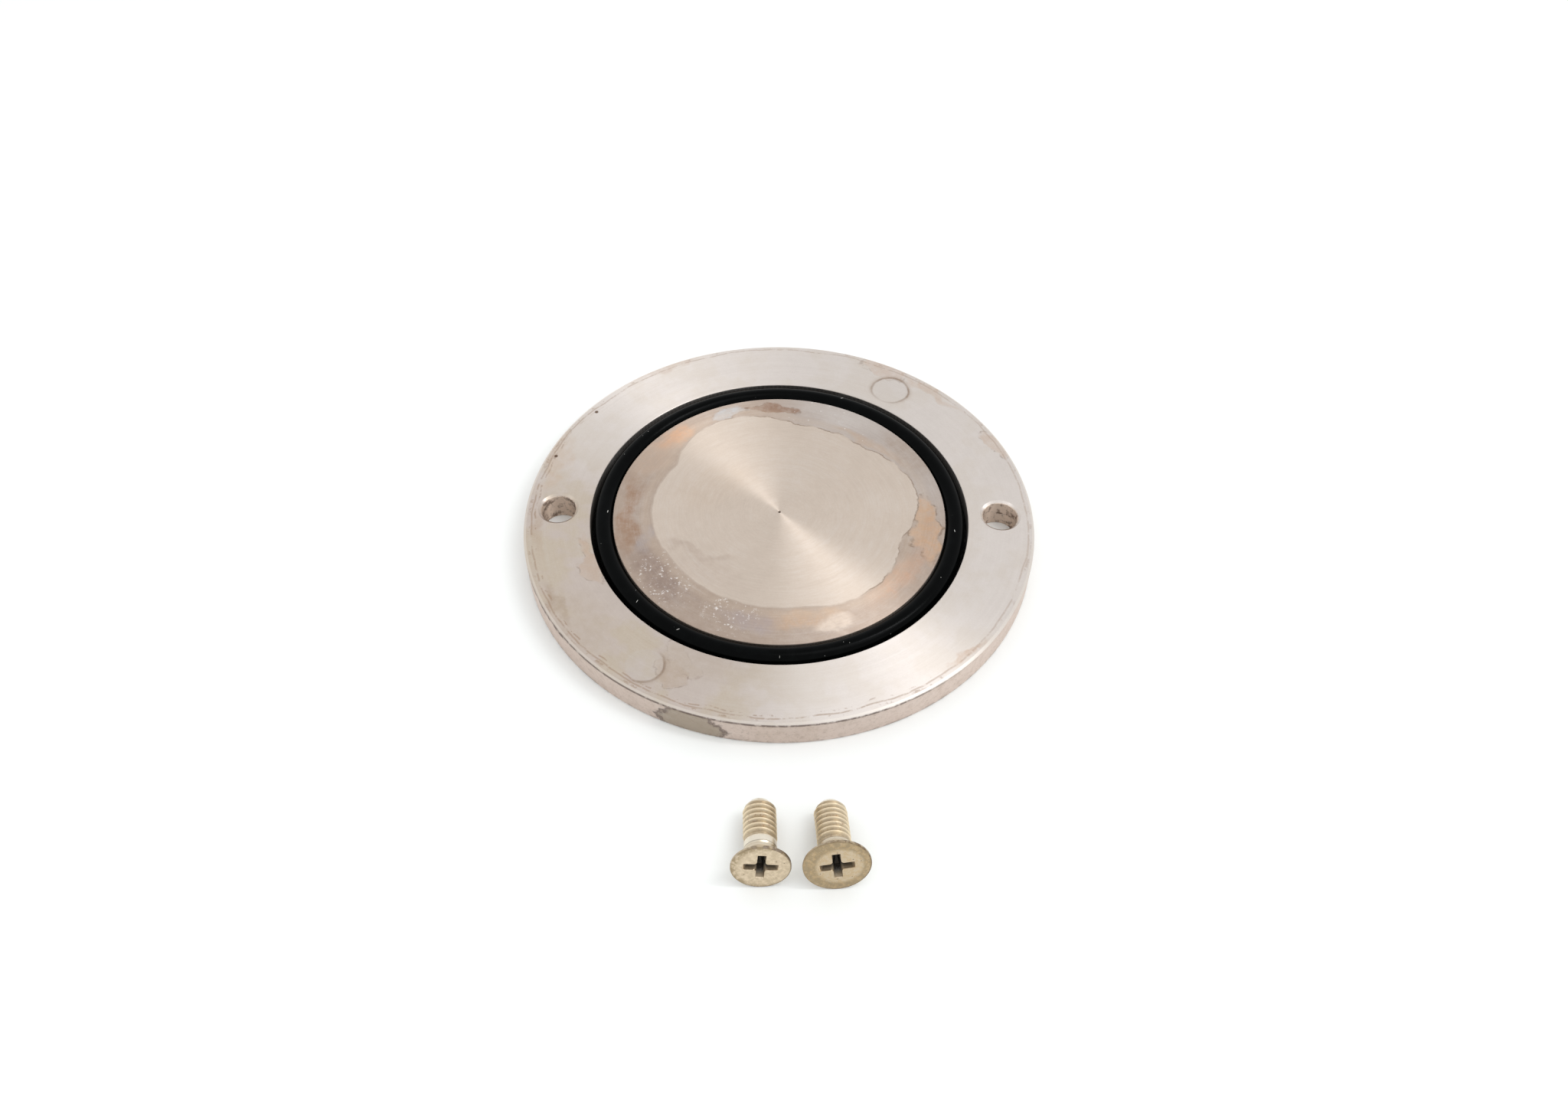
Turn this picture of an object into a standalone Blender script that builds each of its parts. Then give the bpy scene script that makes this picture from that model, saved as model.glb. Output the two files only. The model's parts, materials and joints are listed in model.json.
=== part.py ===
"""Cover set of a small trap, laid out on a bench.

A round turned cover plate lies with its sealing side up. A rubber O-ring sits
in its face groove, and its two countersunk screws lie loose in front of it.

Frame: metres, +Z up, origin at the centre of the plate's outer face, which is
the side it lies on. +X runs from the left screw hole to the right one, and
the screws lie on the -Y side.
"""
import math

import bmesh
import bpy
from mathutils import Euler, Matrix, Vector

MM = 0.001

# Cover plate
PLATE_RADIUS = 35.0 * MM
PLATE_THICKNESS = 4.1 * MM
RIM_CHAMFER_WIDTH = 0.42 * MM
RIM_CHAMFER_HEIGHT = 0.30 * MM
OUTER_EDGE_BREAK = 0.20 * MM

# Face groove for the O-ring
GROOVE_INNER_RADIUS = 22.9 * MM
GROOVE_OUTER_RADIUS = 26.0 * MM
GROOVE_DEPTH = 2.25 * MM

# Screw holes, one at each end of the X axis diameter
HOLE_CENTRE_RADIUS = 30.5 * MM
HOLE_RADIUS = 2.4 * MM
HOLE_CHAMFER_WIDTH = 0.40 * MM
HOLE_CHAMFER_HEIGHT = 0.30 * MM

# O-ring
CORD_RADIUS = 1.2 * MM
SEAL_GAP = 0.3 * MM

# Screws, M4 with a 0.7 mm pitch
SCREW_LENGTH = 9.15 * MM
THREAD_CREST_RADIUS = 1.95 * MM
THREAD_ROOT_RADIUS = 1.56 * MM
THREAD_PITCH = 0.70 * MM
HEAD_RIM_HEIGHT = 0.40 * MM
TIP_RADIUS = 1.25 * MM
TIP_LENGTH = 0.30 * MM
ROOT_MARGIN = 0.05 * MM
TIP_REST = TIP_LENGTH + ROOT_MARGIN + 0.61 * THREAD_PITCH
RECESS_ARM_LENGTH = 2.0 * MM
RECESS_ARM_WIDTH = 0.98 * MM
RECESS_DEPTH = 1.9 * MM
RECESS_END_SCALE = 0.42
RECESS_CORNER = 0.22 * MM

# One pitch of the thread: share of the pitch, and radius
THREAD_OUTLINE = (
    (0.0, THREAD_ROOT_RADIUS),
    (0.14, THREAD_ROOT_RADIUS),
    (0.46, THREAD_CREST_RADIUS),
    (0.64, THREAD_CREST_RADIUS),
)

# How finely round pieces are faceted
PLATE_SEGMENTS = 96
HOLE_SEGMENTS = 32
CORD_SEGMENTS = 12
SCREW_SEGMENTS = 32

# name, head radius, where the collar under the head ends, head centre on the
# bench, turn of the axis about the vertical, turn of the cross
SCREWS = (
    ("left_screw", 3.45 * MM, 3.35 * MM, (-1.28 * MM, -53.58 * MM), 2.48, -5.0),
    ("right_screw", 3.90 * MM, 2.75 * MM, (7.28 * MM, -53.46 * MM), 4.63, 5.6),
)


def clear_scene():
    """Remove every object of the open scene."""
    for old in list(bpy.data.objects):
        bpy.data.objects.remove(old, do_unlink=True)


def make_material(name, colour, metallic, roughness):
    """Return a Principled material of one colour."""
    material = bpy.data.materials.new(name)
    material.use_nodes = True
    shader = material.node_tree.nodes["Principled BSDF"]
    shader.inputs["Base Color"].default_value = (*colour, 1.0)
    shader.inputs["Metallic"].default_value = metallic
    shader.inputs["Roughness"].default_value = roughness
    return material


def add_object(name, mesh_data, material=None):
    """Write a bmesh into a new object, smooth except at its sharp edges."""
    mesh = bpy.data.meshes.new(name)
    mesh_data.to_mesh(mesh)
    mesh_data.free()
    mesh.shade_smooth()
    mesh.set_sharp_from_angle(angle=math.radians(25.0))
    piece = bpy.data.objects.new(name, mesh)
    bpy.context.scene.collection.objects.link(piece)
    if material is not None:
        mesh.materials.append(material)
    return piece


def hide_cutter(cutter):
    """Show a cutter as wire and leave it out of the model."""
    cutter.hide_render = True
    cutter.display_type = "WIRE"


def cut(piece, cutter):
    """Subtract a cutter from a piece."""
    hide_cutter(cutter)
    boolean = piece.modifiers.new("cut_" + cutter.name, "BOOLEAN")
    boolean.operation = "DIFFERENCE"
    boolean.solver = "EXACT"
    boolean.object = cutter


def turned(profile, segments):
    """Spin a closed (radius, height) outline about Z into one closed solid."""
    solid = bmesh.new()
    corners = [solid.verts.new((radius, 0.0, height)) for radius, height in profile]
    edges = [solid.edges.new(pair) for pair in zip(corners, corners[1:] + corners[:1])]
    bmesh.ops.spin(
        solid, geom=corners + edges, cent=(0, 0, 0), axis=(0, 0, 1),
        angle=math.tau, steps=segments, use_merge=True)
    bmesh.ops.remove_doubles(solid, verts=solid.verts, dist=1e-7)
    on_axis = [e for e in solid.edges if not e.link_faces]
    bmesh.ops.delete(solid, geom=on_axis, context="EDGES")
    bmesh.ops.recalc_face_normals(solid, faces=solid.faces)
    return solid


def plate_profile():
    """Outline of the plate from its outer face up and in to its centre."""
    top = PLATE_THICKNESS
    floor = PLATE_THICKNESS - GROOVE_DEPTH
    return (
        (0.0, 0.0),
        (PLATE_RADIUS - OUTER_EDGE_BREAK, 0.0),
        (PLATE_RADIUS, OUTER_EDGE_BREAK),
        (PLATE_RADIUS, top - RIM_CHAMFER_HEIGHT),
        (PLATE_RADIUS - RIM_CHAMFER_WIDTH, top),
        (GROOVE_OUTER_RADIUS, top),
        (GROOVE_OUTER_RADIUS, floor),
        (GROOVE_INNER_RADIUS, floor),
        (GROOVE_INNER_RADIUS, top),
        (0.0, top),
    )


def hole_profile():
    """Outline of one screw hole, opened by a chamfer at both faces."""
    wide = HOLE_RADIUS + HOLE_CHAMFER_WIDTH
    slope = HOLE_CHAMFER_WIDTH / HOLE_CHAMFER_HEIGHT
    past = 0.5 * MM
    return (
        (0.0, -past),
        (wide + slope * past, -past),
        (wide, 0.0),
        (HOLE_RADIUS, HOLE_CHAMFER_HEIGHT),
        (HOLE_RADIUS, PLATE_THICKNESS - HOLE_CHAMFER_HEIGHT),
        (wide, PLATE_THICKNESS),
        (wide + slope * past, PLATE_THICKNESS + past),
        (0.0, PLATE_THICKNESS + past),
    )


def make_cover_plate(material):
    """Turn the plate and cut its two screw holes."""
    plate = add_object("cover_plate", turned(plate_profile(), PLATE_SEGMENTS), material)
    for side, direction in (("left", -1.0), ("right", 1.0)):
        cutter = add_object(side + "_hole_cutter", turned(hole_profile(), HOLE_SEGMENTS))
        cutter.location = (direction * HOLE_CENTRE_RADIUS, 0.0, 0.0)
        cut(plate, cutter)
    return plate


def make_o_ring(material):
    """Turn the O-ring, centred in its groove and clear of the groove's floor."""
    ring_radius = (GROOVE_INNER_RADIUS + GROOVE_OUTER_RADIUS) / 2.0
    height = PLATE_THICKNESS - GROOVE_DEPTH + SEAL_GAP + CORD_RADIUS
    section = []
    for step in range(CORD_SEGMENTS):
        angle = math.tau * step / CORD_SEGMENTS
        section.append((ring_radius + CORD_RADIUS * math.cos(angle), CORD_RADIUS * math.sin(angle)))
    ring = add_object("o_ring", turned(section, PLATE_SEGMENTS), material)
    ring.location = (0.0, 0.0, height)
    return ring


def ring_of_verts(solid, radius, height):
    """Add one level ring of vertices about Z."""
    ring = []
    for step in range(SCREW_SEGMENTS):
        angle = math.tau * step / SCREW_SEGMENTS
        ring.append(solid.verts.new((radius * math.cos(angle), radius * math.sin(angle), height)))
    return ring


def bridge(solid, upper, lower):
    """Join two level rings with one band of faces."""
    for step in range(SCREW_SEGMENTS):
        after = (step + 1) % SCREW_SEGMENTS
        solid.faces.new((upper[step], lower[step], lower[after], upper[after]))


def thread_columns(solid, start, turns):
    """Add the thread's vertices, one column for each step round the shank.

    Each pitch has a root, a rising flank, a crest and a falling flank, and
    each column stands lower than the one before by its share of a pitch.
    """
    columns = []
    for step in range(SCREW_SEGMENTS):
        turn = step / SCREW_SEGMENTS
        across = Vector((math.cos(math.tau * turn), math.sin(math.tau * turn), 0.0))
        column = []
        for index in range(turns * len(THREAD_OUTLINE) + 1):
            share, radius = THREAD_OUTLINE[index % len(THREAD_OUTLINE)]
            depth = start + THREAD_PITCH * (index // len(THREAD_OUTLINE) + share + turn)
            column.append(solid.verts.new(across * radius - Vector((0.0, 0.0, depth))))
        columns.append(column)
    return columns


def add_thread(solid, upper, lower, start, turns):
    """Build a helical thread between two level rings of its root radius.

    One column on from the last is the first column a pitch further down, so
    the thread's tooth starts and runs out in a small flat face.
    """
    columns = thread_columns(solid, start, turns)
    pitch = len(THREAD_OUTLINE)
    first, last = columns[0], columns[-1]
    for column, beside in zip(columns, columns[1:] + [first[pitch:]]):
        for index in range(len(beside) - 1):
            solid.faces.new((column[index], column[index + 1], beside[index + 1], beside[index]))
    for step in range(SCREW_SEGMENTS - 1):
        solid.faces.new((upper[step], columns[step][0], columns[step + 1][0], upper[step + 1]))
        solid.faces.new((columns[step][-1], lower[step], lower[step + 1], columns[step + 1][-1]))
    solid.faces.new(first[1:pitch + 1])
    solid.faces.new(last[-pitch:])
    solid.faces.new((upper[-1], last[0], first[pitch], first[1], first[0], upper[0]))
    solid.faces.new((first[-1], lower[0], lower[-1], last[-1], last[-pitch], last[-pitch - 1]))


def screw_solid(head_radius, collar_end):
    """Build one screw upright, head up, with the top of its head at Z = 0."""
    solid = bmesh.new()
    cone_end = HEAD_RIM_HEIGHT + head_radius - THREAD_CREST_RADIUS
    thread_top = collar_end + THREAD_CREST_RADIUS - THREAD_ROOT_RADIUS
    thread_end = SCREW_LENGTH - TIP_LENGTH - ROOT_MARGIN
    turns = int((thread_end - thread_top) / THREAD_PITCH) - 1
    outline = (
        (head_radius, 0.0),
        (head_radius, HEAD_RIM_HEIGHT),
        (THREAD_CREST_RADIUS, cone_end),
        (THREAD_CREST_RADIUS, collar_end),
        (THREAD_ROOT_RADIUS, thread_top),
    )
    rings = [ring_of_verts(solid, radius, -depth) for radius, depth in outline]
    for upper, lower in zip(rings, rings[1:]):
        bridge(solid, upper, lower)
    shoulder = ring_of_verts(solid, THREAD_ROOT_RADIUS, TIP_LENGTH - SCREW_LENGTH)
    tip = ring_of_verts(solid, TIP_RADIUS, -SCREW_LENGTH)
    add_thread(solid, rings[-1], shoulder, thread_end - (turns + 1) * THREAD_PITCH, turns)
    bridge(solid, shoulder, tip)
    solid.faces.new(rings[0])
    solid.faces.new(tip)
    bmesh.ops.recalc_face_normals(solid, faces=solid.faces)
    return solid


def recess_solid():
    """Build the tapered cross that cuts the driver recess into a head."""
    solid = bmesh.new()
    half = RECESS_ARM_WIDTH / 2.0
    arm = ((RECESS_ARM_LENGTH, -half), (RECESS_ARM_LENGTH, half),
           (half + RECESS_CORNER, half), (half, half + RECESS_CORNER))
    above = 0.3 * MM
    scale_above = 1.0 + (1.0 - RECESS_END_SCALE) * above / RECESS_DEPTH
    levels = []
    for scale, height in ((scale_above, above), (RECESS_END_SCALE, -RECESS_DEPTH)):
        level = []
        for quarter in range(4):
            turn = Matrix.Rotation(math.radians(90.0) * quarter, 3, "Z")
            for x, y in arm:
                level.append(solid.verts.new(turn @ Vector((x * scale, y * scale, height))))
        levels.append(level)
    upper, lower = levels
    for corner in range(len(upper)):
        after = (corner + 1) % len(upper)
        solid.faces.new((upper[corner], lower[corner], lower[after], upper[after]))
    solid.faces.new(upper)
    solid.faces.new(lower)
    bmesh.ops.recalc_face_normals(solid, faces=solid.faces)
    return solid


def resting_pose(head_radius, place, turn):
    """Return where a screw lies: on its head's rim and on the end of its thread."""
    reach = SCREW_LENGTH - TIP_REST - HEAD_RIM_HEIGHT
    tilt = math.atan((head_radius - THREAD_CREST_RADIUS) / reach)
    height = HEAD_RIM_HEIGHT * math.sin(tilt) + head_radius * math.cos(tilt)
    location = Vector((*place, height))
    rotation = Euler((math.radians(90.0) - tilt, 0.0, math.radians(turn)))
    return location, rotation


def make_screw(name, head_radius, collar_end, place, turn, cross_turn, material):
    """Build one screw with its recess and lay it on the bench."""
    screw = add_object(name, screw_solid(head_radius, collar_end), material)
    cutter = add_object(name + "_recess_cutter", recess_solid())
    location, rotation = resting_pose(head_radius, place, turn)
    for piece in (screw, cutter):
        piece.location = location
        piece.rotation_euler = rotation
    cutter.rotation_euler = (
        rotation.to_matrix() @ Matrix.Rotation(math.radians(cross_turn), 3, "Z")).to_euler()
    cut(screw, cutter)
    return screw


def main():
    """Build the cover set."""
    clear_scene()
    plate_metal = make_material("turned_plate_metal", (0.62, 0.56, 0.50), 1.0, 0.35)
    rubber = make_material("black_rubber", (0.012, 0.013, 0.014), 0.0, 0.45)
    screw_metal = make_material("plated_screw_metal", (0.66, 0.57, 0.44), 1.0, 0.30)
    make_cover_plate(plate_metal)
    make_o_ring(rubber)
    for screw in SCREWS:
        make_screw(*screw, screw_metal)


main()
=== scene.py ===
"""Looks of a small trap's cover set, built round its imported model.

A round turned cover plate lies with its sealing side up, and a rubber O-ring
sits in its face groove. Its two countersunk screws lie loose in front of it.
The row frame is used throughout: metres, +Z up, the origin at the centre of
the plate's outer face, and +X from the left screw hole to the right one.
"""

import json
import logging
import math
from dataclasses import dataclass, field
from enum import Enum
from typing import Callable, Iterable, Sequence

import bmesh
import bpy
from mathutils import Matrix, Vector


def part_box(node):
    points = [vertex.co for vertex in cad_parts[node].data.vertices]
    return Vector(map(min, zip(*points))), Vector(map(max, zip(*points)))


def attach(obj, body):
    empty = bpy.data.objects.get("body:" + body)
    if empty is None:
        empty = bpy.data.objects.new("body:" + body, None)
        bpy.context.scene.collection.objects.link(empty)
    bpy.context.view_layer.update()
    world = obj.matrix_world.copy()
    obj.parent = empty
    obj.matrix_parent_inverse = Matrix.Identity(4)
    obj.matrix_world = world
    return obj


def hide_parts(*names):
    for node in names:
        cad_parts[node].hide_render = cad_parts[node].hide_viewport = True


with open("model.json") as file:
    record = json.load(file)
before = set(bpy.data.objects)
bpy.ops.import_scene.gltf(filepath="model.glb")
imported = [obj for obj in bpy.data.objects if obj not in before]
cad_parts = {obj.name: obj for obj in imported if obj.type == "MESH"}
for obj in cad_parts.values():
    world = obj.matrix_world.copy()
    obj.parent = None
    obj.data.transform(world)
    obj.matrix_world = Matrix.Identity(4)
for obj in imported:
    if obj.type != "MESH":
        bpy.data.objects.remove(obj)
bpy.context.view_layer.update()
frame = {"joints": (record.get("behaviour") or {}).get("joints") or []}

LOG = logging.getLogger("cover_set")
MM = 0.001
WELD = 0.001 * MM

Colour = tuple[float, float, float]
Point = tuple[float, float]
Corner = tuple[float, float, float]


# --------------------------------------------------------------------------
# Shader writing
# --------------------------------------------------------------------------

class Wire:
    """One shader value that Python's operators can combine with others."""

    def __init__(self, graph: "Graph", socket: bpy.types.NodeSocket) -> None:
        """Wrap an output socket of a graph's node."""
        self.graph = graph
        self.socket = socket

    def __add__(self, other: "Value") -> "Wire":
        """Return self + other."""
        return self.graph.maths("ADD", self, other)

    def __sub__(self, other: "Value") -> "Wire":
        """Return self - other."""
        return self.graph.maths("SUBTRACT", self, other)

    def __rsub__(self, other: "Value") -> "Wire":
        """Return other - self."""
        return self.graph.maths("SUBTRACT", other, self)

    def __mul__(self, other: "Value") -> "Wire":
        """Return self * other."""
        return self.graph.maths("MULTIPLY", self, other)

    def __truediv__(self, other: "Value") -> "Wire":
        """Return self / other."""
        return self.graph.maths("DIVIDE", self, other)

    def __abs__(self) -> "Wire":
        """Return the size of the value without its sign."""
        return self.graph.maths("ABSOLUTE", self)

    __radd__ = __add__
    __rmul__ = __mul__

    def rise(self, low: float, high: float) -> "Wire":
        """Step smoothly from 0 at low to 1 at high, or down where high is the smaller.

        Args:
            low: the value that gives 0.
            high: the value that gives 1.

        Returns:
            The eased share between the two.
        """
        made = self.graph.node(
            "ShaderNodeMapRange", {"interpolation_type": "SMOOTHSTEP"},
            {"Value": self, "From Min": low, "From Max": high})
        return Wire(self.graph, made.outputs["Result"])

    def band(self, centre: float, half_width: float) -> "Wire":
        """Return a soft band that is 1 at centre and 0 half_width away."""
        return abs(self - centre).rise(half_width, 0.0)


Value = Wire | float


class Graph:
    """One material and the nodes that are written into it."""

    def __init__(self, name: str) -> None:
        """Make a material with a Principled shader."""
        self.material = bpy.data.materials.new(name)
        self.material.use_nodes = True
        self.tree = self.material.node_tree
        self.shader = self.tree.nodes["Principled BSDF"]

    def feed(self, socket: bpy.types.NodeSocket, value: object) -> None:
        """Link a wire into a socket, or set the socket's own value."""
        if isinstance(value, Wire):
            self.tree.links.new(value.socket, socket)
        else:
            socket.default_value = value

    def node(self, kind: str, settings: dict | None = None,
             inputs: dict | None = None) -> bpy.types.Node:
        """Add any node.

        Args:
            kind: the node's type.
            settings: its properties, set before its sockets.
            inputs: a value or a wire for each socket, by name or place.

        Returns:
            The node.
        """
        made = self.tree.nodes.new(kind)
        for key, value in (settings or {}).items():
            setattr(made, key, value)
        for key, value in (inputs or {}).items():
            self.feed(made.inputs[key], value)
        return made

    def maths(self, operation: str, *values: Value) -> Wire:
        """Add a Math node on one, two or three values."""
        made = self.node("ShaderNodeMath", {"operation": operation}, dict(enumerate(values)))
        return Wire(self, made.outputs[0])

    def vector(self, x: Value, y: Value, z: Value) -> Wire:
        """Join three values into a vector."""
        made = self.node("ShaderNodeCombineXYZ", None, {0: x, 1: y, 2: z})
        return Wire(self, made.outputs[0])

    def axes(self, vector: Wire) -> tuple[Wire, Wire, Wire]:
        """Split a vector into its three values."""
        made = self.node("ShaderNodeSeparateXYZ", None, {0: vector})
        return tuple(Wire(self, made.outputs[index]) for index in range(3))

    def length(self, vector: Wire) -> Wire:
        """Return a vector's length."""
        made = self.node("ShaderNodeVectorMath", {"operation": "LENGTH"}, {0: vector})
        return Wire(self, made.outputs["Value"])

    def place(self) -> Wire:
        """Return the point being shaded, in millimetres of the row frame."""
        where = self.node("ShaderNodeTexCoord").outputs["Object"]
        made = self.node(
            "ShaderNodeVectorMath", {"operation": "SCALE"},
            {0: Wire(self, where), "Scale": 1.0 / MM})
        return Wire(self, made.outputs["Vector"])

    def local(self, vector: Wire, centre: Sequence[float], turn: Sequence[float],
              scale: Sequence[float] = (1.0, 1.0, 1.0)) -> Wire:
        """Return a vector as seen from a centred, turned and scaled frame.

        Args:
            vector: the vector to convert.
            centre: where the frame's origin is.
            turn: the frame's Euler angles, in radians.
            scale: the length of the frame's unit on each axis.

        Returns:
            The vector in that frame.
        """
        made = self.node(
            "ShaderNodeMapping", {"vector_type": "TEXTURE"},
            {"Vector": vector, "Location": centre, "Rotation": turn, "Scale": scale})
        return Wire(self, made.outputs[0])

    def noise(self, vector: Wire, scale: float, detail: float = 2.0,
              roughness: float = 0.5) -> Wire:
        """Return cloudy noise, mostly between 0.2 and 0.8."""
        made = self.node(
            "ShaderNodeTexNoise", None,
            {"Vector": vector, "Scale": scale, "Detail": detail, "Roughness": roughness})
        return Wire(self, made.outputs["Fac"])

    def drift(self, vector: Wire, scale: float, reach: float) -> Wire:
        """Push a vector about level by noise, by up to about half of reach."""
        noise = self.node(
            "ShaderNodeTexNoise", None, {"Vector": vector, "Scale": scale, "Detail": 4.0})
        away = self.node(
            "ShaderNodeVectorMath", {"operation": "SUBTRACT"},
            {0: Wire(self, noise.outputs["Color"]), 1: (0.5, 0.5, 0.5)})
        moved = self.node(
            "ShaderNodeVectorMath", {"operation": "MULTIPLY_ADD"},
            {0: Wire(self, away.outputs[0]), 1: (reach, reach, 0.0), 2: vector})
        return Wire(self, moved.outputs[0])

    def cells(self, vector: Wire, scale: float) -> tuple[Wire, Wire]:
        """Return the distance to the nearest scattered point and that point's own chance."""
        made = self.node("ShaderNodeTexVoronoi", None, {"Vector": vector, "Scale": scale})
        chance = self.axes(Wire(self, made.outputs["Color"]))[0]
        return Wire(self, made.outputs["Distance"]), chance

    def blend(self, share: Value, under: "Wire | Colour", over: "Wire | Colour") -> Wire:
        """Lay one colour over another.

        Args:
            share: how much of the upper colour shows.
            under: the lower colour.
            over: the upper colour.

        Returns:
            The blended colour.
        """
        made = self.node(
            "ShaderNodeMix", {"data_type": "RGBA", "clamp_factor": True})
        self.feed(made.inputs[0], share)
        self.feed(made.inputs[6], under if isinstance(under, Wire) else (*under, 1.0))
        self.feed(made.inputs[7], over if isinstance(over, Wire) else (*over, 1.0))
        return Wire(self, made.outputs[2])

    def mottled(self, colour: Wire, shade: Wire, dark: Colour) -> Wire:
        """Darken a colour where a shade is below 0 and whiten it where it is above."""
        towards = self.blend(shade.rise(-0.001, 0.001), dark, WHITE)
        return self.blend(abs(shade), colour, towards)

    def relief(self, height: Wire, distance: float) -> None:
        """Let a height from 0 to 1 tilt the surface.

        Args:
            height: the height.
            distance: how far 1 stands above 0, in metres.
        """
        made = self.node("ShaderNodeBump", None, {"Height": height, "Distance": distance})
        self.feed(self.shader.inputs["Normal"], Wire(self, made.outputs[0]))

    def set(self, **inputs: object) -> None:
        """Set the shader's own sockets, with _ for each space in a name."""
        for key, value in inputs.items():
            self.feed(self.shader.inputs[key.replace("_", " ")], value)


# --------------------------------------------------------------------------
# Finishes
# --------------------------------------------------------------------------

class Edge(Enum):
    """How a stain ends: fading out, or in the dark line that a dried drop leaves."""

    FADED = 0.0
    DRIED = 1.0


@dataclass(frozen=True)
class Stain:
    """One stain on the plate's sealing side, in millimetres and degrees."""

    centre: Point
    reach: Point
    turn: float
    colour: Colour
    strength: float
    edge: Edge = Edge.FADED


TIDE_BROWN = (0.260, 0.170, 0.115)
WHITE = (1.0, 1.0, 1.0)

LAND_STAINS = (
    Stain((-15.0, 14.4), (3.6, 1.6), 46.0, (0.70, 0.44, 0.29), 0.85),
    Stain((-18.2, 9.6), (4.2, 2.0), 62.0, (0.61, 0.47, 0.37), 0.75),
    Stain((-7.6, 19.9), (3.0, 1.4), 20.0, (0.59, 0.59, 0.60), 0.75, Edge.DRIED),
    Stain((-0.9, 20.6), (4.0, 1.1), -4.0, (0.37, 0.23, 0.16), 0.80, Edge.DRIED),
    Stain((9.4, 19.5), (7.2, 2.3), -28.0, (0.67, 0.60, 0.55), 0.80),
    Stain((18.2, 11.6), (5.4, 2.2), -58.0, (0.52, 0.42, 0.35), 0.75),
    Stain((12.9, 13.6), (5.6, 0.9), -38.0, (0.60, 0.47, 0.38), 0.75),
    Stain((19.9, -2.6), (6.4, 2.3), -84.0, (0.68, 0.46, 0.31), 0.85, Edge.DRIED),
    Stain((16.0, -11.6), (5.4, 2.0), 52.0, (0.66, 0.45, 0.33), 0.85),
    Stain((3.0, -18.6), (5.2, 1.5), 9.0, (0.64, 0.46, 0.33), 0.80),
    Stain((7.6, -19.2), (2.8, 1.2), 24.0, (0.79, 0.66, 0.55), 0.75),
    Stain((-3.8, -19.3), (3.4, 1.6), -13.0, (0.52, 0.43, 0.40), 0.80),
    Stain((-15.9, -11.4), (6.4, 2.6), -53.0, (0.41, 0.31, 0.26), 0.80),
    Stain((-20.6, -0.8), (6.6, 1.5), 90.0, (0.45, 0.29, 0.20), 0.85),
    Stain((-18.4, -5.4), (2.8, 1.4), 72.0, (0.50, 0.43, 0.41), 0.60),
)

DISC_STAINS = (
    Stain((-9.0, 4.6), (6.4, 3.8), 30.0, (0.66, 0.53, 0.42), 0.35),
    Stain((-11.6, -7.2), (4.4, 0.9), -24.0, (0.50, 0.39, 0.32), 0.40),
    Stain((-7.4, -8.6), (2.2, 0.9), 18.0, (0.52, 0.41, 0.33), 0.35),
    Stain((-10.4, -10.4), (5.0, 2.6), -30.0, (0.60, 0.49, 0.41), 0.35),
)

MARGIN_STAINS = (
    Stain((15.3, 29.9), (4.0, 1.6), -27.0, (0.66, 0.51, 0.41), 0.50, Edge.DRIED),
    Stain((22.6, 24.8), (5.2, 0.6), -47.0, (0.64, 0.49, 0.38), 0.50),
    Stain((30.9, 13.7), (3.4, 1.1), -66.0, (0.66, 0.52, 0.42), 0.55, Edge.DRIED),
    Stain((-25.0, -9.8), (4.6, 1.0), -63.0, (0.62, 0.47, 0.36), 0.55, Edge.DRIED),
    Stain((-26.0, -7.2), (2.2, 0.8), -74.0, (0.60, 0.45, 0.34), 0.40),
    Stain((-13.1, -27.6), (2.2, 1.7), -38.0, (0.54, 0.42, 0.32), 0.55, Edge.DRIED),
    Stain((-11.9, -25.6), (3.8, 1.2), -62.0, (0.60, 0.50, 0.41), 0.35, Edge.DRIED),
    Stain((-28.7, -17.0), (4.2, 0.7), -60.0, (0.44, 0.33, 0.24), 0.55),
    Stain((-25.0, -20.2), (6.4, 3.8), -48.0, (0.57, 0.47, 0.37), 0.45),
    Stain((-9.0, -26.2), (7.0, 2.6), -14.0, (0.56, 0.46, 0.37), 0.40),
    Stain((-31.8, 8.4), (5.4, 1.5), 76.0, (0.64, 0.49, 0.36), 0.45),
    Stain((-32.6, 11.8), (4.2, 0.8), 70.0, (0.58, 0.45, 0.34), 0.45, Edge.DRIED),
    Stain((-32.8, -4.4), (4.6, 0.8), -82.0, (0.54, 0.42, 0.32), 0.50),
    Stain((-17.6, 29.2), (6.4, 0.7), 31.0, (0.58, 0.46, 0.38), 0.45),
    Stain((24.2, -23.6), (4.2, 0.6), 44.0, (0.56, 0.39, 0.28), 0.50),
)

PITS = ((-27.3, 19.4), (-32.1, 10.1))


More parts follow.
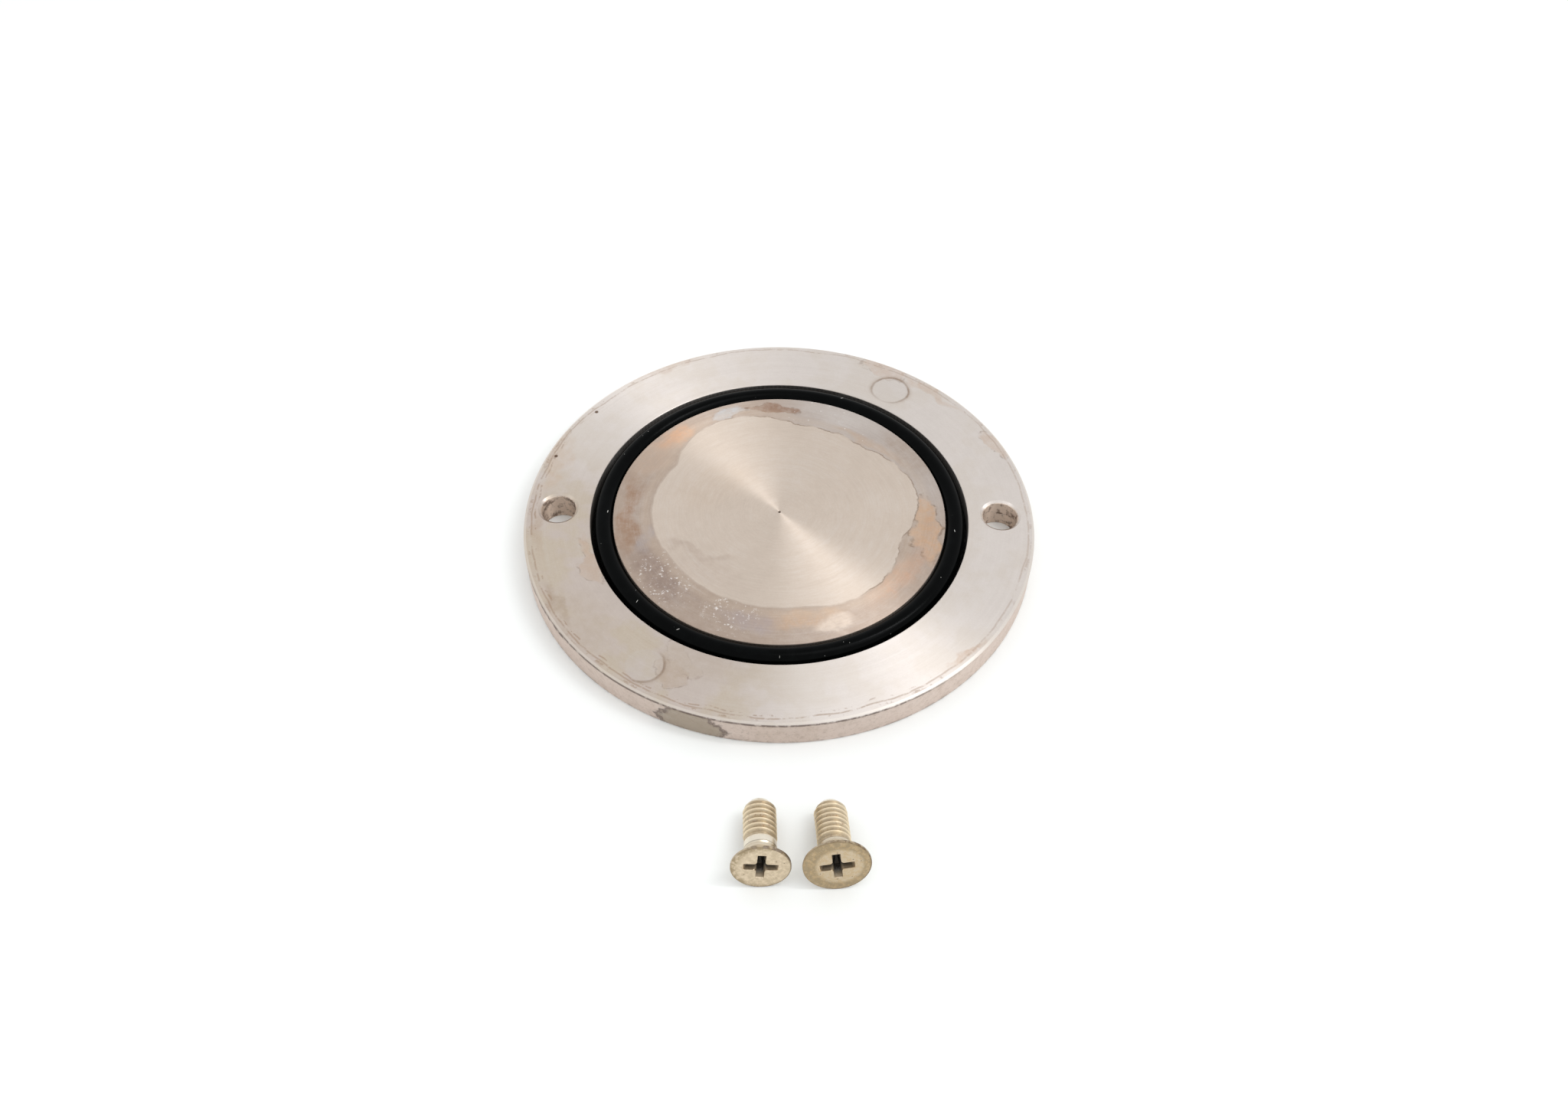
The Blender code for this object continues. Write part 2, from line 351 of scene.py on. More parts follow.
@dataclass(frozen=True)
class TurnedPlateFinish:
    """Fine turned, water-marked stainless plate."""

    radius: float
    thickness: float
    groove_inner: float
    groove_outer: float
    hole_centre: float
    hole_radius: float
    margin: Colour = (0.755, 0.688, 0.640)
    lower_left_margin: Colour = (0.625, 0.535, 0.475)
    yellowed: Colour = (0.600, 0.505, 0.395)
    disc: Colour = (0.685, 0.580, 0.490)
    bevel: Colour = (0.860, 0.790, 0.710)
    corrosion_and_shade: Colour = (0.055, 0.024, 0.015)
    tarnish: Colour = (0.52, 0.41, 0.335)
    scale_white: Colour = (0.80, 0.77, 0.74)
    rust: Colour = (0.310, 0.195, 0.120)
    dark_grain: Colour = (0.30, 0.23, 0.18)
    upper_right_land: Colour = (0.640, 0.590, 0.560)
    bloom: Colour = (0.74, 0.60, 0.47)
    pit: Colour = (0.16, 0.10, 0.07)
    centre_mark: Colour = (0.10, 0.07, 0.05)
    groove_grime_and_shade: Colour = (0.020, 0.018, 0.016)
    bore_wall: Colour = (0.740, 0.600, 0.490)
    bore_rust: Colour = (0.130, 0.075, 0.052)
    mark_fill: Colour = (0.66, 0.60, 0.55)
    mark_halo: Colour = (0.50, 0.395, 0.315)
    side: Colour = (0.655, 0.540, 0.475)
    side_spot: Colour = (0.40, 0.31, 0.24)
    side_grit: Colour = (0.30, 0.225, 0.18)
    side_pale: Colour = (0.66, 0.57, 0.52)
    side_stain: Colour = (0.330, 0.275, 0.205)
    witness_marks: tuple = ((16.3, 25.2, 2.74, 60.0, -0.9), (-16.5, -26.3, 2.56, -42.0, 0.15))
    wet_lobes: tuple = (
        (0.3, 0.3, 17.2), (8.7, 2.5, 10.5), (-3.8, 8.2, 10.9), (4.3, -4.3, 12.3),
        (-4.0, 0.3, 13.6))

    def stained(self, graph: Graph, drifted: Wire, broken: Wire, patchy: Wire, colour: Wire,
                stain: Stain) -> Wire:
        """Lay one stain over the colour.

        Args:
            graph: the material's graph.
            drifted: the point being shaded, in millimetres, pushed about by noise.
            broken: where a dried outline shows.
            patchy: how thick the stain is from spot to spot.
            colour: the colour below.
            stain: the stain.

        Returns:
            The colour with the stain on it.
        """
        centre = (*stain.centre, self.thickness / MM)
        turn = (0.0, 0.0, math.radians(stain.turn))
        away = graph.length(graph.local(drifted, centre, turn, (*stain.reach, 1.5)))
        body = away.rise(1.35, 0.45) if stain.edge is Edge.FADED else away.rise(1.08, 0.80)
        colour = graph.blend(body * patchy * stain.strength, colour, stain.colour)
        if stain.edge is Edge.DRIED:
            line = away.band(1.0, 0.11) * broken
            colour = graph.blend(line * (stain.strength * 0.8), colour, TIDE_BROWN)
        return colour

    def clean_disc(self, graph: Graph, where: Wire, wander: Wire, restless: Wire) -> Wire:
        """Return how far outside the clean middle a point is, in millimetres.

        Args:
            graph: the material's graph.
            where: the point being shaded, in millimetres.
            wander: noise about 0 that moves the outline.
            restless: how far it moves it.

        Returns:
            The distance, below 0 inside.
        """
        nearest = None
        for x, y, reach in self.wet_lobes:
            centre = (x, y, self.thickness / MM)
            away = graph.length(graph.local(where, centre, (0.0, 0.0, 0.0))) - reach
            nearest = away if nearest is None else graph.maths("MINIMUM", nearest, away)
        return nearest + wander * restless

    def build(self) -> bpy.types.Material:
        """Write the plate's material."""
        graph = Graph("turned_plate")
        where = graph.place()
        x, y, z = graph.axes(where)
        out = graph.length(graph.vector(x, y, 0.0))
        east, north = x / (out + 0.001), y / (out + 0.001)
        across = out + z
        top = z.rise(self.thickness / MM - 0.5, self.thickness / MM - 0.32)

        fine = graph.noise(graph.vector(across * 3.6, east * 1.2, north * 1.2), 1.0, 3.0, 0.7)
        broad = graph.noise(graph.vector(across * 1.3, east * 0.9, north * 0.9), 1.0, 3.0)
        cloud = graph.noise(where, 0.13, 4.0, 0.6)
        mottle = graph.noise(where, 0.9, 5.0, 0.65)
        grain = graph.noise(where, 4.5, 2.0, 0.6)
        glint = graph.noise(graph.vector(across * 4.2, east * 7.0, north * 7.0), 1.0, 2.0, 0.6)
        wander = graph.noise(where, 0.42, 4.0, 0.6) - 0.5
        drifted = graph.drift(where, 0.28, 5.0)
        broken = graph.noise(where, 0.7, 4.0, 0.6).rise(0.44, 0.60)
        patchy = mottle.rise(0.30, 0.66) * 0.6 + 0.56

        on_land = out.rise(self.groove_inner / MM + 0.2, self.groove_inner / MM + 0.1)
        scalloped = (east * 0.9 + north * 0.5).rise(-0.55, 0.35)
        outside = self.clean_disc(graph, where, wander, scalloped + 0.35)
        dirty = outside.rise(-0.05, 0.25) * on_land * top
        # The margin is darker and yellower towards the lower left.
        toward_lower_left = (east * 0.80 + north * 0.60).rise(-0.45, -0.88)
        yellow = cloud.rise(0.44, 0.60) * (toward_lower_left * 0.6 + 0.25)
        colour = graph.blend(toward_lower_left * 0.9, self.margin, self.lower_left_margin)
        colour = graph.blend(yellow, colour, self.yellowed)
        colour = graph.blend(on_land, colour, self.disc)
        colour = graph.blend(dirty * (mottle * 0.5 + 0.70), colour, self.tarnish)
        # The tarnished ring is paler towards the upper right.
        toward_upper_right = (east * 0.7 + north * 0.7).rise(0.45, 0.98) * dirty
        colour = graph.blend(toward_upper_right * 0.6, colour, self.upper_right_land)
        for stain in LAND_STAINS:
            over = self.stained(graph, drifted, broken, patchy, colour, stain)
            colour = graph.blend(dirty, colour, over)
        for stain in DISC_STAINS + MARGIN_STAINS:
            colour = self.stained(graph, drifted, broken, patchy, colour, stain)

        tide = outside.band(0.02, 0.17) * on_land * top
        tide = tide * graph.noise(where, 0.35, 2.0).rise(0.30, 0.60) * (scalloped * 0.7 + 0.3)
        colour = graph.blend(tide * 0.75, colour, TIDE_BROWN)
        bloom = outside.band(0.9, 1.3) * dirty * 0.22
        colour = graph.blend(bloom, colour, self.bloom)

        colour = self.witnessed(graph, drifted, where, broken, colour)
        flakes = self.limescale(graph, where, x, y, dirty)
        colour = graph.blend(flakes * 0.62, colour, self.scale_white)
        deposit = self.rim_deposit(graph, where, out, east, north, top)
        colour = graph.blend(deposit * 0.75, colour, self.rust)
        for pit in PITS:
            spot = graph.length(graph.local(where, (*pit, self.thickness / MM), (0, 0, 0)))
            colour = graph.blend((spot + wander * 0.3).rise(0.34, 0.16), colour, self.pit)
        # Painted shade: the punch mark at the centre is painted near black.
        colour = graph.blend(out.rise(0.24, 0.12), colour, self.centre_mark)
        colour, side_rust_and_shade = self.weathered_side(graph, where, east, north, z, out, colour)
        # Painted shade and grime: the groove's walls and floor are painted near black, standing in
        # for the shade in the gap round the ring.
        groove = out.rise(self.groove_inner / MM - 0.03, self.groove_inner / MM + 0.01)
        groove = groove * out.rise(self.groove_outer / MM + 0.03, self.groove_outer / MM - 0.01)
        grime_and_shade = groove * z.rise(self.thickness / MM - 0.06, self.thickness / MM - 0.16)
        colour = graph.blend(grime_and_shade, colour, self.groove_grime_and_shade)
        bore = self.bore(graph, x, y)
        colour = graph.blend(bore * 0.85, colour, self.bore_wall)
        colour = graph.blend(bore * mottle.rise(0.48, 0.64) * 0.8, colour, self.bore_rust)

        shade = (cloud - 0.5) * 0.30 + (broad - 0.5) * 0.16 + (fine - 0.5) * 0.14
        shade = shade + (grain - 0.5) * 0.16 + (glint - 0.5) * 0.20 * on_land
        colour = graph.mottled(colour, shade, self.dark_grain)
        rough = 0.42 + dirty * 0.06 + (mottle - 0.5) * 0.12 + (broad - 0.5) * 0.10
        rough = rough + bore * 0.12 + (1.0 - top) * 0.04 + grime_and_shade * 0.35
        metal = 1.0 - flakes * 0.75 - deposit * 0.5 - side_rust_and_shade * 0.7
        graph.set(Base_Color=colour, Roughness=rough, Metallic=metal, Anisotropic=0.90,
                  Anisotropic_Rotation=0.25)
        graph.relief(
            fine * 0.7 + glint * 0.5 + broad * 0.2 + flakes * 0.4 + bore * mottle * 1.2, 0.013 * MM)
        return graph.material

    def witnessed(self, graph: Graph, drifted: Wire, where: Wire, broken: Wire,
                  colour: Wire) -> Wire:
        """Lay the two round marks that bosses of the body left on the margin."""
        nearly = graph.blend(0.90, drifted, where)
        for x, y, reach, turn, gap in self.witness_marks:
            spot = graph.local(nearly, (x, y, self.thickness / MM), (0, 0, 0))
            along, up, _ = graph.axes(spot)
            away = graph.length(spot)
            facing = along * math.cos(math.radians(turn)) + up * math.sin(math.radians(turn))
            stained = (facing / reach).rise(gap - 0.35, gap + 0.55)
            colour = graph.blend(away.rise(reach, reach - 0.3) * 0.25, colour, self.mark_fill)
            line = away.band(reach + 0.05, 0.30) * (broken * 0.35 + 0.50) * stained
            colour = graph.blend(line, colour, TIDE_BROWN)
            halo = away.rise(reach - 0.05, reach + 0.05) * away.rise(reach + 0.9, reach)
            colour = graph.blend(halo * stained * 0.45, colour, self.mark_halo)
        return colour

    def limescale(self, graph: Graph, where: Wire, x: Wire, y: Wire, dirty: Wire) -> Wire:
        """Return where white flakes of limescale lie on the tarnished ring."""
        near, chance = graph.cells(where, 1.5)
        dots = near.rise(0.22, 0.09) * chance.rise(0.64, 0.74)
        crust = graph.noise(where, 2.1, 4.0, 0.7).rise(0.585, 0.655)
        left = graph.length(graph.vector(x + 15.0, y + 12.2, 0.0)).rise(6.4, 2.5)
        low = graph.length(graph.vector(x + 6.2, y + 17.8, 0.0)).rise(5.2, 2.0)
        right = graph.length(graph.vector(x - 9.0, y - 19.5, 0.0)).rise(11.0, 4.0)
        where_crusted = graph.maths("MAXIMUM", left, low)
        return (dots * (right * 0.8 + where_crusted * 0.6 + 0.1) + crust * where_crusted) * dirty

    def rim_deposit(self, graph: Graph, where: Wire, out: Wire, east: Wire, north: Wire,
                    top: Wire) -> Wire:
        """Return the broken brown line just inside the rim, thickest at the lower left."""
        rim = self.radius / MM
        swing = graph.noise(where, 0.16, 3.0) - 0.5
        breaks = graph.noise(where, 0.55, 4.0, 0.7)
        thick = (east + north).rise(0.2, -0.9)
        line = (out + swing * 1.1).band(rim - 0.98, 0.21) * breaks.rise(0.36, 0.52)
        second = (out + swing * 2.0).band(rim - 1.45, 0.20) * breaks.rise(0.50, 0.58) * thick
        crust = (out + swing * 0.8).band(rim - 0.66, 0.40) * breaks.rise(0.54, 0.64)
        every = graph.maths("MAXIMUM", graph.maths("MAXIMUM", line, second), crust)
        return every * top * (thick * 0.35 + 0.55)

    def weathered_side(self, graph: Graph, where: Wire, east: Wire, north: Wire, z: Wire,
                       out: Wire, colour: Wire) -> tuple[Wire, Wire]:
        """Brighten the bevel, paint rust and shade in a line below it and corrode the side wall.

        Args:
            graph: the material's graph.
            where: the point being shaded, in millimetres.
            east: the x part of the direction out from the axis.
            north: its y part.
            z: the height, in millimetres.
            out: the distance from the axis, in millimetres.
            colour: the colour below.

        Returns:
            The colour and the share of rust and painted shade in it.
        """
        top, rim = self.thickness / MM, self.radius / MM
        edge = out.rise(rim - 0.38, rim - 0.33)
        wall = z.rise(top - 0.22, top - 0.29) * edge
        spots = graph.noise(where, 0.8, 5.0, 0.72)
        grit = graph.noise(where, 2.6, 4.0, 0.7)
        colour = graph.blend(edge * 0.40, colour, self.bevel)
        colour = graph.blend(wall * 0.85, colour, self.side)
        colour = graph.blend(wall * spots.rise(0.45, 0.70) * 0.30, colour, self.side_spot)
        colour = graph.blend(wall * grit.rise(0.52, 0.74) * 0.40, colour, self.side_grit)
        colour = graph.blend(wall * grit.rise(0.46, 0.28) * 0.35, colour, self.side_pale)

        front = graph.length(graph.vector(east + 0.30, north + 0.95, 0.0))
        front = front + (spots - 0.5) * 0.12 + abs(z - 1.4) * 0.03
        colour = graph.blend(wall * front.rise(0.150, 0.115) * 0.7, colour, self.side_stain)
        low = z.rise(0.7, 0.0) * spots.rise(0.42, 0.58)
        # Painted shade, partly corrosion: a ragged dark line under the bevel on the front of the
        # plate.
        ragged_rust_and_shade = z.rise(top - 0.55, top - 0.40) * z.rise(top - 0.16, top - 0.22) * edge
        facing = (north + east * 0.25).rise(-0.45, -0.85)
        ragged_rust_and_shade = ragged_rust_and_shade * facing * (spots.rise(0.34, 0.52) * 0.65 + 0.25)
        black = graph.length(graph.vector(east + 0.87, north + 0.49, 0.0)).rise(0.24, 0.14)
        black = black * z.band(top - 0.50, 0.42) * edge * spots.rise(0.42, 0.50)
        rust = graph.maths("MAXIMUM", low * 0.5, front.band(0.135, 0.022) * 0.7) * wall
        rust = graph.maths("MAXIMUM", rust, graph.maths("MAXIMUM", ragged_rust_and_shade * 0.85, black))
        return graph.blend(rust, colour, self.corrosion_and_shade), rust

    def bore(self, graph: Graph, x: Wire, y: Wire) -> Wire:
        """Return 1 on the walls of the two screw holes."""
        away = graph.length(graph.vector(abs(x) - self.hole_centre / MM, y, 0.0))
        return away.rise(self.hole_radius / MM + 0.16, self.hole_radius / MM + 0.04)


@dataclass(frozen=True)
class RubberFinish:
    """Black O-ring rubber with a dull bloom, fine grain and a few specks of lint."""

    black: Colour = (0.0006, 0.0008, 0.0008)
    bloom: Colour = (0.0022, 0.0028, 0.0028)
    lint: Colour = (0.62, 0.60, 0.56)
    flecks: tuple = (
        (0.4, -24.9, 3.9, 88.0), (-23.6, -0.7, 4.3, 84.0), (23.9, -3.4, 4.3, 100.0),
        (9.0, 22.9, 4.4, 30.0), (-12.6, -21.0, 4.3, 20.0), (-18.2, -16.5, 4.2, 60.0))

    def build(self) -> bpy.types.Material:
        """Write the rubber's material."""
        graph = Graph("o_ring_rubber")
        where = graph.place()
        grain = graph.noise(where, 9.0, 3.0, 0.6)
        smear = graph.noise(where, 0.6, 4.0, 0.6)
        near, chance = graph.cells(where, 1.3)
        dust = near.rise(0.085, 0.03) * chance.rise(0.86, 0.90)
        colour = graph.blend(smear.rise(0.45, 0.75) * 0.5, self.black, self.bloom)
        for x, y, z, turn in self.flecks:
            inside = graph.local(
                where, (x, y, z), (0.0, 0.0, math.radians(turn)), (0.28, 0.055, 0.6))
            dust = graph.maths("MAXIMUM", dust, graph.length(inside).rise(1.0, 0.7))
        colour = graph.blend(dust * 0.8, colour, self.lint)
        rough = 0.20 + (smear - 0.5) * 0.12 + (grain - 0.5) * 0.06 + dust * 0.3
        graph.set(Base_Color=colour, Roughness=rough, Specular_IOR_Level=0.045)
        graph.relief(grain * 0.6 + smear * 0.6 + dust, 0.012 * MM)
        return graph.material


@dataclass(frozen=True)
class ScrewFinish:
    """Nickel plate over brass, worn on the head and brown in the thread."""

    origin: Vector
    turn: tuple[float, float, float]
    crest: float
    root: float
    thread_from: float
    head_radius: float
    dull_ring: float
    length: float
    worn: Colour
    neck_middle: float
    plate: Colour = (0.590, 0.480, 0.340)
    thread: Colour = (0.810, 0.660, 0.445)
    bright: Colour = (0.85, 0.78, 0.66)
    dull: Colour = (0.285, 0.213, 0.118)
    brown: Colour = (0.060, 0.028, 0.009)
    grime_and_shade: Colour = (0.010, 0.007, 0.005)
    dark_grain: Colour = (0.25, 0.18, 0.10)
    dull_neck: Colour = (0.560, 0.465, 0.330)
    thread_spot: Colour = (0.300, 0.150, 0.085)
    crease_dirt_and_shade: Colour = (0.210, 0.165, 0.110)
    face_stain: Colour = (0.50, 0.40, 0.26)
    rim_dirt: Colour = (0.115, 0.070, 0.038)
    speck: Colour = (0.14, 0.08, 0.04)

    def build(self, name: str) -> bpy.types.Material:
        """Write one screw's material, which follows the screw's own axis."""
        graph = Graph(name)
        origin = tuple(value / MM for value in self.origin)
        where = graph.local(graph.place(), origin, self.turn)
        x, y, z = graph.axes(where)
        depth = 0.0 - z
        out = graph.length(graph.vector(x, y, 0.0))
        mottle = graph.noise(where, 1.6, 5.0, 0.65)
        grain = graph.noise(where, 6.0, 3.0, 0.6)
        rings = graph.noise(graph.vector(out * 9.0, x * 0.25, y * 0.25), 1.0, 2.0)

        face = depth.rise(0.30, 0.10)
        threaded = depth.rise(self.thread_from / MM - 0.3, self.thread_from / MM + 0.3)
        shank = depth.rise(0.45, 0.9)
        valley = out.rise(self.crest / MM - 0.02, self.root / MM + 0.23)
        colour = graph.blend(shank * 0.85, self.plate, self.bright)
        colour = graph.blend(threaded * 0.85, colour, self.thread)
        tip = depth.rise(self.length / MM - 1.3, self.length / MM - 0.5)
        colour = graph.blend(tip * 0.8, colour, self.bright)
        neck = depth.band(self.neck_middle / MM, 0.33)
        colour = graph.blend(neck * 0.75, colour, self.dull_neck)
        stain = valley * threaded * (mottle * 0.70 + 0.02)
        stain = stain * depth.rise(self.length / MM - 0.5, self.length / MM - 1.1)
        colour = graph.blend(stain, colour, self.brown)
        spot = graph.noise(where, 2.2, 5.0, 0.75).rise(0.55, 0.68)
        colour = graph.blend(spot * threaded * 0.60, colour, self.thread_spot)
        # Painted shade, partly dirt: a dark line in the crease where the neck meets the collar.
        crease_dirt_and_shade = depth.band(self.neck_middle / MM + 0.27, 0.10)
        colour = graph.blend(crease_dirt_and_shade * 0.65, colour, self.crease_dirt_and_shade)

        ring = out - x * 0.10 + (mottle - 0.5) * 0.7
        ring = ring.rise(self.dull_ring / MM - 0.30, self.dull_ring / MM + 0.30)
        colour = graph.blend(face * ring * 0.72, colour, self.dull)
        colour = graph.blend(
            face * mottle.rise(0.55, 0.75) * 0.35, colour, self.face_stain)
        rub = mottle.rise(0.42, 0.62)
        colour = graph.blend(face * rub * 0.7, colour, self.worn)
        rim = abs(out - self.head_radius / MM).rise(0.22, 0.04) * depth.rise(0.55, 0.35)
        rim = rim * mottle.rise(0.38, 0.54) * x.rise(-6.0, 2.0)
        colour = graph.blend(rim * 0.8, colour, self.rim_dirt)
        near, chance = graph.cells(where, 1.1)
        dots = near.rise(0.12, 0.05) * chance.rise(0.80, 0.84) * face
        colour = graph.blend(dots * 0.8, colour, self.speck)
        # Painted shade, partly grime: the cross recess is painted near black, darker with depth.
        pocket = depth.rise(0.08, 0.16) * (out + depth * 0.55).rise(2.32, 2.18)
        pocket = pocket * depth.rise(2.1, 1.9)
        darker_with_depth = depth.rise(0.20, 1.10) * 0.65 + 0.30
        colour = graph.blend(pocket * darker_with_depth, colour, self.grime_and_shade)

        shade = (mottle - 0.5) * 0.30 + (rings - 0.5) * 0.10 + (grain - 0.5) * 0.34
        colour = graph.mottled(colour, shade, self.dark_grain)
        rough = 0.32 + (mottle - 0.5) * 0.20 + face * ring * 0.14 + stain * 0.20 + pocket * 0.3
        graph.set(Base_Color=colour, Roughness=rough, Metallic=1.0 - stain * 0.45 - dots * 0.5)
        graph.relief(grain * 0.5 + mottle * 0.8 + rings * face * 0.3, 0.012 * MM)
        return graph.material


@dataclass(frozen=True)
class PaperFinish:
    """The plain white sheet that the set lies on."""

    white: Colour = (0.86, 0.870, 0.850)
    glow: float = 0.06

    def build(self) -> bpy.types.Material:
        """Write the sheet's material."""
        graph = Graph("white_sheet")
        tone = graph.noise(graph.place(), 0.02, 2.0)
        colour = graph.blend(tone * 0.3, self.white, (0.88, 0.875, 0.865))
        graph.set(Base_Color=colour, Roughness=0.9, Specular_IOR_Level=0.1,
                  Emission_Color=(1.0, 1.0, 0.985, 1.0), Emission_Strength=self.glow)
        return graph.material


# --------------------------------------------------------------------------
# Modelling
# --------------------------------------------------------------------------

def rounded(corners: Sequence[Corner], steps: int = 4) -> list[Point]:
    """Turn each corner of an outline into an arc of its own radius.

    Args:
        corners: (across, up, radius of the arc) for each corner in turn.
        steps: how many straight pieces an arc has.

    Returns:
        The outline's points.
    """
    outline = []
    for index, (across, up, bend) in enumerate(corners):
        corner = Vector((across, up))
        if not bend:
            outline.append((across, up))
            continue
        back = (Vector(corners[index - 1][:2]) - corner).normalized()
        ahead = (Vector(corners[(index + 1) % len(corners)][:2]) - corner).normalized()
        half = back.angle(ahead) / 2.0
        centre = corner + (back + ahead).normalized() * (bend / math.sin(half))
        first = corner + back * (bend / math.tan(half)) - centre
        sweep = math.pi - 2.0 * half
        side = 1.0 if back.cross(ahead) < 0.0 else -1.0
        for step in range(steps + 1):
            turn = Matrix.Rotation(side * sweep * step / steps, 2)
            outline.append(tuple(centre + turn @ first))
    return outline


class Workpiece:
    """A new piece on the bench, shaped with Blender's own tools."""

    def __init__(self, obj: bpy.types.Object) -> None:
        """Take an object as a workpiece."""
        self.obj = obj

    @classmethod
    def drawn(cls, name: str, outline: Sequence[Point], level: bool = False) -> "Workpiece":
        """Start a piece as a chain of vertices pulled out along an outline.

        Args:
            name: the piece's name.
            outline: (x, z) points, or (x, y) points of a level outline.
            level: whether the outline lies flat.

        Returns:
            The piece, in edit mode.
        """
        def spot(point: Point) -> Vector:
            """Return a point of the outline in space."""
            return Vector((point[0], point[1], 0.0) if level else (point[0], 0.0, point[1]))

        bpy.ops.object.select_all(action="DESELECT")
        bpy.ops.mesh.primitive_plane_add(size=MM)
        piece = cls(bpy.context.active_object)
        piece.obj.name = piece.obj.data.name = name
        bpy.ops.object.mode_set(mode="EDIT")
        bpy.ops.mesh.select_all(action="SELECT")
        bpy.ops.mesh.merge(type="CENTER")
        bpy.ops.transform.translate(value=spot(outline[0]))
        for here, after in zip(outline, outline[1:]):
            bpy.ops.mesh.extrude_region_move(
                TRANSFORM_OT_translate={"value": spot(after) - spot(here)})
        return piece

    def clean(self) -> "Workpiece":
        """Merge doubled vertices and turn every face outwards."""
        bpy.ops.mesh.select_all(action="SELECT")
        bpy.ops.mesh.remove_doubles(threshold=WELD)
        bpy.ops.mesh.normals_make_consistent(inside=False)
        return self

    def spun(self, steps: int) -> "Workpiece":
        """Spin the drawn outline once round Z and close it."""
        bpy.ops.mesh.select_all(action="SELECT")
        bpy.ops.mesh.spin(steps=steps, angle=math.tau, center=(0, 0, 0), axis=(0, 0, 1))
        self.clean()
        bpy.ops.object.mode_set(mode="OBJECT")
        return self

    def pick(self, kind: str, test: Callable[[object], bool]) -> "Workpiece":
        """Select in edit mode only the verts, edges or faces that pass a test."""
        bpy.ops.mesh.select_all(action="DESELECT")
        mesh = bmesh.from_edit_mesh(self.obj.data)
        for element in getattr(mesh, kind):
            if test(element):
                element.select_set(True)
        mesh.select_flush_mode()
        bmesh.update_edit_mesh(self.obj.data)
        return self

    def activate(self) -> None:
        """Make this the one selected and active object."""
        bpy.ops.object.select_all(action="DESELECT")
        self.obj.select_set(True)
        bpy.context.view_layer.objects.active = self.obj

    def modified(self, kind: str, **settings: object) -> "Workpiece":
        """Add a modifier and apply it."""
        modifier = self.obj.modifiers.new(kind.lower(), kind)
        for key, value in settings.items():
            setattr(modifier, key, value)
        self.activate()
        bpy.ops.object.modifier_apply(modifier=modifier.name)
        return self

    def combined(self, other: "Workpiece", operation: str) -> "Workpiece":
        """Cut, keep or join with another piece, which is used up."""
        self.modified("BOOLEAN", operation=operation, solver="EXACT", object=other.obj)
        bpy.data.objects.remove(other.obj, do_unlink=True)
        bpy.ops.object.mode_set(mode="EDIT")
        bpy.ops.mesh.select_all(action="SELECT")
        bpy.ops.mesh.remove_doubles(threshold=0.3 * WELD)
        bpy.ops.mesh.dissolve_degenerate(threshold=0.3 * WELD)
        bpy.ops.object.mode_set(mode="OBJECT")
        return self

    def laid(self, pose: Matrix) -> "Workpiece":
        """Move the piece's mesh to its place, with its object left at the origin."""
        self.obj.matrix_world = pose
        self.activate()
        bpy.ops.object.transform_apply(location=True, rotation=True, scale=True)
        return self

    def shaded(self, angle: float) -> "Workpiece":
        """Shade round faces smooth and keep flat faces flat.

        Args:
            angle: the sharpest bend that still looks round, in degrees.

        Returns:
            The piece.
        """
        self.activate()
        bpy.ops.object.shade_smooth_by_angle(angle=math.radians(angle))
        return self.modified("WEIGHTED_NORMAL", keep_sharp=True, weight=100)

    def delivered(self, body: str, slot: str, finish: bpy.types.Material,
                  nodes: Iterable[str]) -> None:
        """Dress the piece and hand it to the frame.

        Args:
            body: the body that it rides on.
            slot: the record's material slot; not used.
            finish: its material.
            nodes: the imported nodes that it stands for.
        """
        self.obj.data.materials.clear()
        self.obj.data.materials.append(finish)
        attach(self.obj, body)
        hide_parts(*nodes)
        LOG.info("%s rides on %s: %d faces", self.obj.name, body, len(self.obj.data.polygons))


